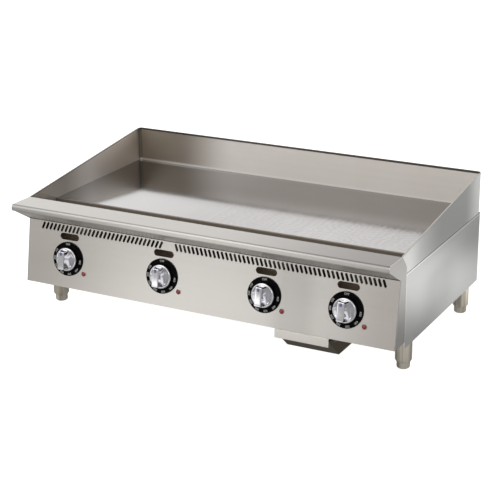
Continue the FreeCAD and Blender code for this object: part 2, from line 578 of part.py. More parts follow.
# ---------------------------------------------------------------------------
assert len(nodes) <= 60, len(nodes)
move = V(-W / 2.0, SHIFT_Y, LEG_H)
total = None
bb = FreeCAD.BoundBox()
for nm, shape in nodes.items():
    s = shape.copy()
    s.translate(move)
    if not s.isValid():
        print("INVALID", nm)
    bb.add(s.BoundBox)
    s.exportStep("parts/%s.step" % nm)
    print("%-22s solids %d  volume %.0f" % (nm, len(s.Solids), s.Volume))
print("nodes", len(nodes), "box", bb, "shift_y", SHIFT_Y, "tilt", TILT)
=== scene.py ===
import json
import math

import bmesh
import bpy
from mathutils import Matrix, Vector


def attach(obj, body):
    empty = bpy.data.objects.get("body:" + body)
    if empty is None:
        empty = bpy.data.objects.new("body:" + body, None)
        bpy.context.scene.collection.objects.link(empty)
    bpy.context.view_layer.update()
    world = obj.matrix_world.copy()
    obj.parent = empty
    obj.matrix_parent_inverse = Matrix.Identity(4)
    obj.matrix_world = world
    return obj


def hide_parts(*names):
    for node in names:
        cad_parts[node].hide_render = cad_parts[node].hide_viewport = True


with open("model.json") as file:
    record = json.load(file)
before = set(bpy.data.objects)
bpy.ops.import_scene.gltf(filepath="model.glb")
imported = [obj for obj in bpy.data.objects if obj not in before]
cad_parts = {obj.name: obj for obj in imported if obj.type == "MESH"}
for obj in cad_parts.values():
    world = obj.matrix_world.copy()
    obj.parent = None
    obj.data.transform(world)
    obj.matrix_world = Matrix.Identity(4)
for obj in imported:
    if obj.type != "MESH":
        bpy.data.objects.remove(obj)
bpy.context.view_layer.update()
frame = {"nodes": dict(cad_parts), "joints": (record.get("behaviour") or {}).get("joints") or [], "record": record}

scene = bpy.context.scene
scene.view_settings.view_transform = "Standard"
scene.view_settings.look = "None"
scene.view_settings.exposure = 0.0
scene.view_settings.gamma = 1.0
nodes = frame["nodes"]
joints = {j["name"]: j for j in frame["joints"]}
body_of = {n: b for b, ns in frame["record"]["behaviour"]["bodies"].items() for n in ns}
MM = 0.001


# ---------------------------------------------------------------------------
# camera: three quarter view from the front right, no shift, no depth of field
# ---------------------------------------------------------------------------
YAW, PITCH, ROLL = 0.4876, 0.3408, -0.0082
fw = Vector((-math.sin(YAW) * math.cos(PITCH), math.cos(YAW) * math.cos(PITCH), -math.sin(PITCH)))
right = fw.cross(Vector((0, 0, 1))).normalized()
up = right.cross(fw)
right, up = (math.cos(ROLL) * right + math.sin(ROLL) * up, -math.sin(ROLL) * right + math.cos(ROLL) * up)
cam_data = bpy.data.cameras.new("camera")
cam_data.sensor_width = 36.0
cam_data.lens = 1404.9566 / 500.0 * 36.0
cam_data.clip_start, cam_data.clip_end = 0.05, 200.0
cam = bpy.data.objects.new("camera", cam_data)
scene.collection.objects.link(cam)
m = Matrix((right, up, -fw)).transposed().to_4x4()
m.translation = Vector((1.8990, -3.5874, 1.6372))
cam.matrix_world = m
scene.camera = cam


# ---------------------------------------------------------------------------
# node helpers
# ---------------------------------------------------------------------------
class Tree:
    def __init__(self, name, kind="material"):
        self.m = bpy.data.materials.new(name)
        self.m.use_nodes = True
        self.nt = self.m.node_tree
        self.nt.nodes.clear()
        self.out = self.new("ShaderNodeOutputMaterial")
        self.bsdf = self.new("ShaderNodeBsdfPrincipled")
        self.link(self.bsdf.outputs[0], self.out.inputs[0])
        self.tc = self.new("ShaderNodeTexCoord")

    def new(self, kind, **kw):
        n = self.nt.nodes.new(kind)
        for k, v in kw.items():
            setattr(n, k, v)
        return n

    def link(self, a, b):
        self.nt.links.new(a, b)

    def put(self, socket, value):
        """value is a number, a colour or an output socket"""
        if isinstance(value, bpy.types.NodeSocket):
            self.link(value, socket)
        else:
            socket.default_value = value

    def mapping(self, scale, loc=(0, 0, 0), rot=(0, 0, 0), vec=None):
        n = self.new("ShaderNodeMapping")
        n.inputs["Scale"].default_value = scale
        n.inputs["Location"].default_value = loc
        n.inputs["Rotation"].default_value = rot
        self.link(vec or self.tc.outputs["Object"], n.inputs["Vector"])
        return n.outputs[0]

    def noise(self, vec, scale=1.0, detail=2.0, rough=0.5, dist=0.0):
        n = self.new("ShaderNodeTexNoise")
        n.inputs["Scale"].default_value = scale
        n.inputs["Detail"].default_value = detail
        n.inputs["Roughness"].default_value = rough
        n.inputs["Distortion"].default_value = dist
        self.link(vec, n.inputs["Vector"])
        return n.outputs[0]

    def coord(self, axis):
        if not hasattr(self, "sep"):
            self.sep = self.new("ShaderNodeSeparateXYZ")
            self.link(self.tc.outputs["Object"], self.sep.inputs[0])
        if axis == "zx":            # height, rising a little to the right
            return self.math("MULTIPLY_ADD", self.coord("x"), 0.0014, self.coord("z"))
        if axis == "edge":          # height measured along the slope of the splash guard's sides
            return self.math("MULTIPLY_ADD", self.coord("y"), -0.11216, self.coord("z"))
        return self.sep.outputs["xyz".index(axis)]

    def math(self, op, a, b=0.5, c=None, clamp=False):
        n = self.new("ShaderNodeMath", operation=op, use_clamp=clamp)
        self.put(n.inputs[0], a)
        self.put(n.inputs[1], b)
        if c is not None:
            self.put(n.inputs[2], c)
        return n.outputs[0]

    def rng(self, v, a, b, c, d, smooth=False):
        n = self.new("ShaderNodeMapRange")
        if smooth:
            n.interpolation_type = "SMOOTHSTEP"
        self.link(v, n.inputs["Value"])
        for k, x in zip(("From Min", "From Max", "To Min", "To Max"), (a, b, c, d)):
            n.inputs[k].default_value = x
        return n.outputs[0]

    def ramp(self, v, stops, interp="LINEAR"):
        n = self.new("ShaderNodeValToRGB")
        n.color_ramp.interpolation = interp
        e = n.color_ramp.elements
        while len(e) < len(stops):
            e.new(0.5)
        for el, (p, c) in zip(e, stops):
            el.position = p
            el.color = (c[0], c[1], c[2], 1.0)
        self.link(v, n.inputs[0])
        return n.outputs[0]

    def mix(self, f, a, b, mode="MIX"):
        n = self.new("ShaderNodeMix", data_type="RGBA", blend_type=mode)
        self.put(n.inputs[0], f)
        self.put(n.inputs[6], a if not isinstance(a, tuple) else (*a, 1.0))
        self.put(n.inputs[7], b if not isinstance(b, tuple) else (*b, 1.0))
        return n.outputs[2]

    def bump(self, h, strength=0.2, distance=0.0005, normal=None):
        n = self.new("ShaderNodeBump")
        n.inputs["Strength"].default_value = strength
        n.inputs["Distance"].default_value = distance
        self.link(h, n.inputs["Height"])
        if normal is not None:
            self.link(normal, n.inputs["Normal"])
        return n.outputs[0]


GRAIN = {"x": (1.0, 0.02, 0.02), "y": (0.02, 1.0, 0.02), "z": (0.02, 0.02, 1.0)}


def grain_scale(axis, across, along):
    s = [across, across, across]
    s["xyz".index(axis)] = along
    return tuple(s)


def tint(c, k):
    return tuple(min(1.0, x * k) for x in c)


def steel(name, base, rough=0.28, grain="x", aniso=0.6, across=None, tone=0.03, rvar=0.02,
          fine=(620.0, 3.0), coarse=(70.0, 0.9), blotch=2.2, bump=0.018, stain=None, metallic=1.0, painted_light_bands=()):
    """Sheet steel with a brushed grain along one axis of the object. Each band paints light or shade into the colour
    over a range of positions: (axis, from, full from, full to, to, amount, colour), with an optional second range."""
    t = Tree(name)
    f1 = t.noise(t.mapping(grain_scale(grain, *fine)), 1.0, 3.0, 0.6)
    f2 = t.noise(t.mapping(grain_scale(grain, *coarse), loc=(3.1, 1.7, 0.4)), 1.0, 2.0, 0.5)
    f3 = t.noise(t.mapping((1, 1, 1), loc=(1.3, 4.2, 2.2)), blotch, 3.0, 0.55)
    s = t.math("MULTIPLY_ADD", f1, 0.35, t.math("MULTIPLY_ADD", f2, 0.40, t.math("MULTIPLY", f3, 0.25)))
    col = t.ramp(s, [(0.30, tint(base, 1 - tone)), (0.5, base), (0.70, tint(base, 1 + tone))])
    if stain is not None:
        sc, amount = stain
        f4 = t.noise(t.mapping((1, 1, 1), loc=(7.7, 0.3, 5.1)), 5.5, 4.0, 0.6, 0.4)
        col = t.mix(t.rng(f4, 0.45, 0.75, 0.0, amount), col, sc)
    # painted light and shade: each band mixes its colour in over its range
    for parts, amount, bc in painted_light_bands:
        k = None
        for axis, a0, a1, b1, b0 in parts:
            c = t.coord(axis)
            w = t.math("MULTIPLY", t.rng(c, a0, a1, 0.0, 1.0, True), t.rng(c, b1, b0, 1.0, 0.0, True))
            k = w if k is None else t.math("MULTIPLY", k, w)
        col = t.mix(t.math("MULTIPLY", k, amount), col, bc)
    t.link(col, t.bsdf.inputs["Base Color"])
    t.bsdf.inputs["Metallic"].default_value = metallic
    r = t.rng(s, 0.3, 0.7, rough - rvar, rough + rvar)
    t.link(r, t.bsdf.inputs["Roughness"])
    t.bsdf.inputs["Anisotropic"].default_value = aniso
    if across is not None:
        v = t.new("ShaderNodeCombineXYZ")
        for i in range(3):
            v.inputs[i].default_value = across[i]
        t.link(v.outputs[0], t.bsdf.inputs["Tangent"])
    t.link(t.bump(f1, bump, 0.0004), t.bsdf.inputs["Normal"])
    return t.m


# ---------------------------------------------------------------------------
# materials
# ---------------------------------------------------------------------------
PLATE_BASE = (0.250, 0.244, 0.243)


def plate_material():
    """Ground plate, buffed in overlapping circles."""
    t = Tree("griddle_plate_steel")
    base = PLATE_BASE
    vec = t.mapping((1, 1, 0.0))
    wob = t.noise(vec, 7.0, 2.0, 0.5)
    rings = None
    for k, (sc, loc, freq) in enumerate(((5.2, (0.31, 0.12, 0), 300.0), (7.4, (2.7, 1.9, 0), 380.0))):
        v = t.mapping((1, 1, 0.0), loc=loc)
        vo = t.new("ShaderNodeTexVoronoi", voronoi_dimensions="2D")
        vo.inputs["Scale"].default_value = sc
        vo.inputs["Randomness"].default_value = 0.9
        t.link(v, vo.inputs["Vector"])
        d = vo.outputs["Distance"]
        w = t.math("SINE", t.math("MULTIPLY_ADD", d, freq / sc, t.math("MULTIPLY", wob, 2.0)), 0.0)
        rings = w if rings is None else t.math("ADD", rings, w)
    rings01 = t.math("MULTIPLY_ADD", rings, 0.25, 0.5)
    # buffing lines that sweep front to back, strongest toward the right
    arcs = t.noise(t.mapping((58, 3.5, 1), rot=(0, 0, 0.22)), 1.0, 2.0, 0.55, 0.5)
    fine = t.noise(t.mapping((240, 5, 1)), 1.0, 3.0, 0.6)
    blot = t.noise(t.mapping((1, 1, 1), loc=(2, 5, 1)), 3.0, 4.0, 0.6)
    side = t.rng(t.coord("x"), -0.35, 0.5, 0.25, 1.0, True)
    swirl = t.math("MULTIPLY", t.math("ADD", t.math("MULTIPLY", arcs, 0.7), t.math("MULTIPLY", rings01, 0.3)), side)
    s = t.math("MULTIPLY_ADD", swirl, 0.45, t.math("MULTIPLY_ADD", fine, 0.20, t.math("MULTIPLY", blot, 0.35)))
    col = t.ramp(s, [(0.30, tint(base, 0.80)), (0.58, tint(base, 1.13))])
    # painted reflection: lighter on the left in front and darker toward the back from the middle to the right, where
    # the back splash is mirrored; painted shade along the front edge in the gap before the nose
    col = t.mix(t.rng(t.coord("x"), -0.42, 0.05, 0.9, 0.0, True), col, (base[0] * 1.10, base[1] * 1.12, base[2] * 1.145))
    back = t.math("MULTIPLY", t.rng(t.coord("y"), 0.03, 0.17, 0.0, 1.0, True), t.rng(t.coord("x"), -0.42, 0.0, 0.05, 1.0, True))
    col = t.mix(back, col, (base[0] * 0.52, base[1] * 0.495, base[2] * 0.47))
    edge = t.rng(t.coord("y"), -0.1490, -0.1455, 0.95, 0.0, True)
    col = t.mix(edge, col, (0.150, 0.126, 0.100))
    t.link(col, t.bsdf.inputs["Base Color"])
    # under the painted shade of the front edge the metal is also less metallic and rougher
    t.link(t.rng(edge, 0.0, 0.95, 1.0, 0.12), t.bsdf.inputs["Metallic"])
    t.link(t.math("ADD", t.rng(s, 0.25, 0.65, 0.085, 0.145), t.math("MULTIPLY", edge, 0.4)), t.bsdf.inputs["Roughness"])
    h = t.math("MULTIPLY_ADD", swirl, 0.8, t.math("MULTIPLY", fine, 0.2))
    t.link(t.bump(h, 0.032, 0.0005), t.bsdf.inputs["Normal"])
    return t.m


def black_gloss():
    t = Tree("dial_black_gloss")
    n = t.noise(t.mapping((1, 1, 1)), 60.0, 3.0, 0.5)
    t.link(t.ramp(n, [(0.3, (0.0015, 0.0015, 0.0018)), (0.8, (0.004, 0.004, 0.0045))]), t.bsdf.inputs["Base Color"])
    t.link(t.rng(n, 0.3, 0.7, 0.08, 0.14), t.bsdf.inputs["Roughness"])
    t.bsdf.inputs["Specular IOR Level"].default_value = 0.03
    return t.m


def white_print():
    t = Tree("dial_print_white")
    n = t.noise(t.mapping((1, 1, 1)), 300.0, 2.0, 0.5)
    t.link(t.ramp(n, [(0.3, (0.42, 0.42, 0.41)), (0.7, (0.52, 0.52, 0.51))]), t.bsdf.inputs["Base Color"])
    t.link(t.rng(n, 0.3, 0.7, 0.45, 0.6), t.bsdf.inputs["Roughness"])
    return t.m


def chrome():
    t = Tree("knob_chrome")
    n = t.noise(t.mapping((1, 1, 1)), 45.0, 3.0, 0.55)
    f = t.noise(t.mapping((1, 1, 1)), 700.0, 2.0, 0.5)
    t.link(t.ramp(n, [(0.3, (0.71, 0.71, 0.745)), (0.7, (0.78, 0.78, 0.81))]), t.bsdf.inputs["Base Color"])
    t.bsdf.inputs["Metallic"].default_value = 1.0
    t.link(t.rng(n, 0.3, 0.7, 0.03, 0.065), t.bsdf.inputs["Roughness"])
    t.link(t.bump(f, 0.03, 0.0002), t.bsdf.inputs["Normal"])
    return t.m


def enamel(name, c, rough=0.35):
    t = Tree(name)
    n = t.noise(t.mapping((1, 1, 1)), 200.0, 3.0, 0.5)
    t.link(t.ramp(n, [(0.3, tint(c, 0.8)), (0.7, tint(c, 1.2))]), t.bsdf.inputs["Base Color"])
    t.link(t.rng(n, 0.3, 0.7, rough - 0.08, rough + 0.08), t.bsdf.inputs["Roughness"])
    return t.m


def red_lens():
    t = Tree("lamp_lens_red")
    n = t.noise(t.mapping((1, 1, 1)), 260.0, 2.0, 0.5)
    t.link(t.ramp(n, [(0.3, (0.19, 0.010, 0.009)), (0.7, (0.27, 0.016, 0.013))]), t.bsdf.inputs["Base Color"])
    t.link(t.rng(n, 0.3, 0.7, 0.14, 0.24), t.bsdf.inputs["Roughness"])
    t.bsdf.inputs["Coat Weight"].default_value = 0.6
    t.bsdf.inputs["Coat Roughness"].default_value = 0.05
    t.bsdf.inputs["Subsurface Weight"].default_value = 0.06
    t.bsdf.inputs["Subsurface Scale"].default_value = 0.004
    return t.m


def painted(name, c, rough=0.5, spec=0.4, bump=0.15, scale=90.0, metallic=0.0):
    t = Tree(name)
    n = t.noise(t.mapping((1, 1, 1)), scale, 4.0, 0.6)
    b = t.noise(t.mapping((1, 1, 1), loc=(3, 1, 2)), 9.0, 3.0, 0.5)
    s = t.math("MULTIPLY_ADD", n, 0.5, t.math("MULTIPLY", b, 0.5))
    t.link(t.ramp(s, [(0.3, tint(c, 0.75)), (0.7, tint(c, 1.25))]), t.bsdf.inputs["Base Color"])
    t.link(t.rng(s, 0.3, 0.7, rough - 0.1, rough + 0.1), t.bsdf.inputs["Roughness"])
    t.bsdf.inputs["Metallic"].default_value = metallic
    t.bsdf.inputs["Specular IOR Level"].default_value = spec
    t.link(t.bump(n, bump, 0.0004), t.bsdf.inputs["Normal"])
    return t.m


def turned(name, base, rough=0.3, rings=900.0, aniso=0.4, streak=None):
    """Round turned or drawn metal: fine rings round z, or dark lengthwise streaks, partly the drawing marks of a tube
    and partly a painted dark reflection.
    """
    t = Tree(name)
    f = t.noise(t.mapping((40, 40, rings)), 1.0, 2.0, 0.5)
    v = t.noise(t.mapping((160, 160, 6), loc=(2, 3, 1)), 1.0, 2.0, 0.5)
    b = t.noise(t.mapping((1, 1, 1), loc=(0.5, 2, 8)), 30.0, 3.0, 0.6)
    s = t.math("MULTIPLY_ADD", f, 0.3, t.math("MULTIPLY_ADD", b, 0.35, t.math("MULTIPLY", v, 0.35)))
    col = t.ramp(s, [(0.3, tint(base, 0.86)), (0.7, tint(base, 1.1))])
    # dark lengthwise streaks: partly drawing marks, partly painted dark reflection
    if streak is not None:
        wide = t.noise(t.mapping((62, 62, 1.2), loc=(4.4, 1.1, 0.3)), 1.0, 3.0, 0.6)
        col = t.mix(t.rng(wide, 0.40, 0.60, 0.0, streak, True), col, (base[0] * 0.36, base[1] * 0.32, base[2] * 0.26))
    t.link(col, t.bsdf.inputs["Base Color"])
    t.bsdf.inputs["Metallic"].default_value = 1.0
    t.link(t.rng(s, 0.3, 0.7, rough - 0.06, rough + 0.08), t.bsdf.inputs["Roughness"])
    t.link(t.bump(f, 0.08, 0.0003), t.bsdf.inputs["Normal"])
    return t.m


def spangle(name, base, rough=0.42):
    """Galvanised sheet with its crystal pattern."""
    t = Tree(name)
    vo = t.new("ShaderNodeTexVoronoi")
    vo.inputs["Scale"].default_value = 70.0
    t.link(t.mapping((1, 1, 1)), vo.inputs["Vector"])
    sep = t.new("ShaderNodeSeparateColor")
    t.link(vo.outputs["Color"], sep.inputs[0])
    n = t.noise(t.mapping((1, 1, 1)), 6.0, 3.0, 0.5)
    s = t.math("MULTIPLY_ADD", sep.outputs[0], 0.45, t.math("MULTIPLY", n, 0.55))
    t.link(t.ramp(s, [(0.15, tint(base, 0.85)), (0.85, tint(base, 1.12))]), t.bsdf.inputs["Base Color"])
    t.bsdf.inputs["Metallic"].default_value = 1.0
    t.link(t.rng(s, 0.2, 0.8, rough - 0.08, rough + 0.1), t.bsdf.inputs["Roughness"])
    t.link(t.bump(n, 0.05, 0.0005), t.bsdf.inputs["Normal"])
    return t.m


# painted shade: near black for thin shade lines along folded edges
PAINTED_EDGE_SHADE = (0.045, 0.036, 0.026)
MAT = {
    "plate": plate_material(),
    "splash": steel("splash_satin", (0.835, 0.796, 0.762), 0.38, "x", 0.80, (0, 0, 1), stain=((0.68, 0.62, 0.55), 0.18), metallic=0.83, painted_light_bands=(
        # painted reflection and shade: a warm dark painted reflection of the left wall in the back left corner and a
        # painted shade line in its bend, a painted highlight toward the back of the left wall inside and painted shade
        # toward its front, and outside on the right the skin painted a cooler tone with a painted dark reflection in
        # its middle and a painted highlight toward the front
        ((("x", -0.62, -0.611, -0.46, -0.24), ("y", 0.335, 0.342, 0.346, 0.352)), 0.86, (0.215, 0.175, 0.130)),
        ((("x", -0.6076, -0.6062, -0.6000, -0.5955), ("y", 0.331, 0.3355, 0.3420, 0.3430)), 0.80, (0.13, 0.105, 0.08)),
        ((("x", -0.6085, -0.6080, -0.6030, -0.6020), ("y", 0.00, 0.24, 0.325, 0.335)), 0.85, (0.97, 0.885, 0.80)),
        ((("x", -0.6085, -0.6080, -0.6030, -0.6020), ("y", -0.40, -0.39, -0.12, 0.06)), 0.85, (0.25, 0.222, 0.19)),
        ((("x", 0.6080, 0.6086, 0.62, 0.63),), 0.90, (0.76, 0.765, 0.755)),
        ((("x", 0.6080, 0.6086, 0.62, 0.63), ("y", -0.26, 0.02, 0.20, 0.33)), 0.82, (0.305, 0.31, 0.305)),
        ((("x", 0.6080, 0.6086, 0.62, 0.63), ("y", -0.50, -0.45, -0.26, -0.14)), 0.85, (0.97, 0.975, 0.965)),
        # painted shade along the folded top edges and a painted highlight along the foot against the plate
        ((("zx", 0.4290, 0.4304, 0.440, 0.441), ("y", 0.325, 0.333, 0.50, 0.51)), 0.95, PAINTED_EDGE_SHADE),
        ((("edge", 0.3943, 0.3950, 0.40, 0.41), ("x", -0.63, -0.62, -0.603, -0.602), ("y", -0.40, -0.39, 0.325, 0.333)), 0.80, (0.12, 0.108, 0.09)),
        ((("edge", 0.3960, 0.3966, 0.40, 0.41), ("x", 0.602, 0.603, 0.62, 0.63), ("y", -0.40, -0.39, 0.325, 0.333)), 0.70, (0.36, 0.35, 0.33)),
        ((("z", 0.3225, 0.3240, 0.3275, 0.3330), ("x", -0.6068, -0.6062, 0.6062, 0.6068), ("y", 0.30, 0.31, 0.3438, 0.3444)), 0.55, (0.95, 0.93, 0.90)),
    )),
    "nose": steel("nose_satin", (0.405, 0.394, 0.380), 0.35, "x", 0.7, (0, 1, 0), bump=0.006, tone=0.02, rvar=0.01, painted_light_bands=(
        # painted shade and reflection: darker toward the right, the front face and underside painted lighter as a
        # painted reflection of the floor, and darker again on the left of the front
        ((("x", 0.02, 0.60, 0.9, 1.0),), 0.75, (0.215, 0.206, 0.199)),
        ((("z", 0.25, 0.26, 0.3555, 0.3640), ("y", -0.40, -0.39, -0.365, -0.362)), 0.85, (0.63, 0.61, 0.58)),
        ((("z", 0.25, 0.26, 0.3445, 0.3470),), 0.85, (0.56, 0.54, 0.52)),
        ((("z", 0.25, 0.26, 0.320, 0.336),), 0.20, (0.90, 0.87, 0.84)),
        ((("x", -0.70, -0.65, -0.36, -0.05), ("z", 0.25, 0.26, 0.3555, 0.3640), ("y", -0.40, -0.39, -0.365, -0.362)), 0.65, (0.42, 0.405, 0.39)),
        # darker toward the back of the top on the left
        ((("x", -0.70, -0.65, -0.50, 0.10), ("y", -0.275, -0.25, -0.19, -0.18)), 0.50, (0.245, 0.238, 0.23)),
    )),
    "ends": steel("end_plate_satin", (0.50, 0.49, 0.475), 0.30, "z", 0.4),
    "panel": steel("panel_satin", (0.665, 0.64, 0.61), 0.23, "x", 0.5, (0, 0, 1), painted_light_bands=(
        # painted shade: darker toward both ends and in a patch right of the middle, in place of the falloff of the
        # reflected light
        ((("x", -0.9, -0.8, -0.56, -0.15),), 0.60, (0.49, 0.46, 0.42)),
        ((("x", 0.20, 0.27, 0.32, 0.39),), 0.70, (0.52, 0.50, 0.475)),
        ((("x", 0.42, 0.58, 0.9, 1.0),), 0.60, (0.55, 0.505, 0.47)),
    )),
    "side": steel("side_satin", (0.64, 0.645, 0.64), 0.22, "y", 0.6, (0, 0, 1), tone=0.015, rvar=0.01, bump=0.004, fine=(300.0, 3.0), painted_light_bands=(
        # painted shade line along the top with a painted highlight just under it
        ((("z", 0.3052, 0.3058, 0.320, 0.321),), 0.90, PAINTED_EDGE_SHADE),
        ((("z", 0.3012, 0.3022, 0.3046, 0.3054),), 0.85, (0.98, 0.98, 0.97)),
        # a painted dark reflection in the middle of the right side, a painted highlight along the front edge, and
        # painted shade toward the top at the rear on the right
        ((("x", 0.50, 0.55, 0.70, 0.80), ("y", -0.17, -0.03, 0.04, 0.20), ("z", 0.08, 0.14, 0.22, 0.28)), 0.50, (0.42, 0.425, 0.42)),
        ((("y", -0.2560, -0.2555, -0.2530, -0.2512),), 0.75, (0.98, 0.985, 0.97)),
        ((("x", 0.50, 0.55, 0.70, 0.80), ("y", 0.10, 0.33, 0.40, 0.41), ("z", 0.16, 0.26, 0.3005, 0.3012)), 0.55, (0.40, 0.405, 0.41)),
    )),
    "dull": steel("trough_dull", (0.62, 0.56, 0.48), 0.36, "x", 0.3, tone=0.08),
    "drawer_front": steel("drawer_front_satin", (0.97, 0.94, 0.885), 0.34, "x", 0.5, (0, 0, 1)),
    "galv": spangle("galvanised", (0.50, 0.51, 0.52)),
    # painted shade: the drawer pan's stainless coloured dark because it sits in shade; the blotchy stain is its own
    "dark": steel("drawer_pan_painted_shade", (0.168, 0.132, 0.086), 0.34, "x", 0.3, tone=0.2, stain=((0.11, 0.08, 0.045), 0.5)),
    "alum": steel("aluminised", (0.46, 0.46, 0.45), 0.45, "y", 0.2, tone=0.12),
    "probe": turned("probe_metal", (0.60, 0.55, 0.50), 0.3),
    "pipe": painted("black_pipe", (0.03, 0.03, 0.03), 0.5, 0.4, 0.3),
    "valve": painted("valve_cast", (0.55, 0.54, 0.50), 0.4, 0.5, 0.2, 160.0, 1.0),
    "thermo": painted("thermostat_cast", (0.50, 0.50, 0.48), 0.4, 0.5, 0.2, 160.0, 1.0),
    "black": black_gloss(),
    "print": white_print(),
    "chrome": chrome(),
    "mark": enamel("pointer_enamel", (0.11, 0.12, 0.26)),
    "shaft": turned("shaft_steel", (0.5, 0.5, 0.5), 0.25),
    "red": red_lens(),
    "nickel": turned("leg_nickel", (0.97, 0.875, 0.76), 0.13, streak=0.52),
    "zinc": turned("zinc_fastener", (0.55, 0.55, 0.52), 0.35, 2000.0),
    "oxide": painted("oxide_brown_sheet", (0.36, 0.27, 0.20), 0.55, 0.4, 0.2, 60.0, 0.3),
    "plastic": painted("black_plastic", (0.022, 0.022, 0.023), 0.5, 0.4, 0.25, 500.0),
}
BY_SLOT = {
    "griddle_steel": "plate", "stainless_splash": "splash", "stainless_nose": "nose", "stainless_panel": "panel",
    "stainless_side": "side", "stainless_dull": "dull", "galvanised_steel": "galv", "dark_steel": "dark",
    "aluminised_steel": "alum", "probe_metal": "probe", "black_pipe": "pipe", "valve_metal": "valve",
    "thermostat_metal": "thermo", "dial_black": "black", "chrome": "chrome", "shaft_steel": "shaft",
    "red_lens": "red", "nickel": "nickel", "fastener_steel": "zinc", "black_plastic": "plastic",
}
BY_NODE = {"burner_box_front": "oxide", "drawer_front": "drawer_front", "left_end_plate": "ends", "right_end_plate": "ends"}


def slot_of(name):
    m = nodes[name].data.materials
    return m[0].name.split(".")[0] if len(m) and m[0] else None


slot_for = {}
for sp in frame["record"].get("subparts", []):
    n, s = sp.get("node") or sp.get("name"), sp.get("material_slot") or sp.get("material") or sp.get("slot")
    if n and s:
        slot_for[n] = s
for name, ob in nodes.items():
    key = BY_NODE.get(name) or BY_SLOT.get(slot_for.get(name) or slot_of(name) or "", None)
    if key is None:
        raise RuntimeError("no material for %s (%s)" % (name, slot_of(name)))
    ob.data.materials.clear()
    ob.data.materials.append(MAT[key])


# ---------------------------------------------------------------------------
# mesh helpers
# ---------------------------------------------------------------------------
def finish_mesh(bm, name, mats, angle=32.0):
    bmesh.ops.recalc_face_normals(bm, faces=bm.faces)
    me = bpy.data.meshes.new(name)
    bm.to_mesh(me)
    bm.free()
    for mt in mats:
        me.materials.append(mt)
    me.shade_smooth()
    me.set_sharp_from_angle(angle=math.radians(angle))
    ob = bpy.data.objects.new(name, me)
    scene.collection.objects.link(ob)
    return ob


def lathe(bm, prof, seg=96, mat=0):
    """Profile of (r, z) in mm turned round z. A radius of 0 closes the surface."""
    rows = []
    for r, z in prof:
        if r < 1e-6:
            rows.append([bm.verts.new((0, 0, z * MM))])
        else:
            rows.append([bm.verts.new((r * MM * math.cos(2 * math.pi * k / seg),
                                       r * MM * math.sin(2 * math.pi * k / seg), z * MM)) for k in range(seg)])
    for a, b in zip(rows, rows[1:]):
        for k in range(seg):
            q = (k + 1) % seg
            if len(a) == 1 and len(b) == 1:
                continue
            if len(a) == 1:
                f = bm.faces.new((a[0], b[k], b[q]))
            elif len(b) == 1:
                f = bm.faces.new((a[k], a[q], b[0]))
            else:
                f = bm.faces.new((a[k], a[q], b[q], b[k]))
            f.material_index = mat
    return rows


def rounded_rect(hw, hl, r, seg=6):
    """Points of a rounded rectangle, half width hw, half length hl, in mm."""
    r = min(r, hw - 0.01, hl - 0.01)
    pts = []
    for cx, cy, a0 in ((hw - r, hl - r, 0), (-(hw - r), hl - r, 90), (-(hw - r), -(hl - r), 180), (hw - r, -(hl - r), 270)):
        for k in range(seg + 1):
            a = math.radians(a0 + 90.0 * k / seg)
            pts.append((cx + r * math.cos(a), cy + r * math.sin(a)))
    return pts


def loft(bm, loops, mat=0, close_ends=True):
    rows = [[bm.verts.new((x * MM, y * MM, z * MM)) for x, y, z in lp] for lp in loops]
    n = len(rows[0])
    for a, b in zip(rows, rows[1:]):
        for k in range(n):
            q = (k + 1) % n
            f = bm.faces.new((a[k], a[q], b[q], b[k]))
            f.material_index = mat
    if close_ends:
        for r in (rows[0], rows[-1]):
            f = bm.faces.new(r)
            f.material_index = mat
    return rows


def arc_pts(cx, cy, r, a0, a1, n):
    return [(cx + r * math.cos(math.radians(a0 + (a1 - a0) * k / n)),
             cy + r * math.sin(math.radians(a0 + (a1 - a0) * k / n))) for k in range(n + 1)]


def boolean(target, tool, op="UNION"):
    md = target.modifiers.new("b", "BOOLEAN")
    md.operation = op
    md.solver = "EXACT"
    md.object = tool
    bpy.context.view_layer.update()
    dg = bpy.context.evaluated_depsgraph_get()
    me = bpy.data.meshes.new_from_object(target.evaluated_get(dg))
    old = target.data
    target.modifiers.clear()
    target.data = me
    bpy.data.meshes.remove(old)
    bpy.data.objects.remove(tool)
    me.shade_smooth()
    me.set_sharp_from_angle(angle=math.radians(32))
    return target


# ---------------------------------------------------------------------------
# knobs, dials, lamps: drawn in panel coordinates (x right, y up, z out), mm
# ---------------------------------------------------------------------------
def panel_matrix(j):
    axis = Vector(j["axis"]).normalized()
    xa = Vector((1, 0, 0))
    ya = axis.cross(xa).normalized()
    mt = Matrix((xa, ya, axis)).transposed().to_4x4()
    mt.translation = Vector(j["pos_m"]) - axis * 0.010
    return mt


Z0 = 6.1                    # underside of the knob above the panel
TOP = Z0 + 35.0


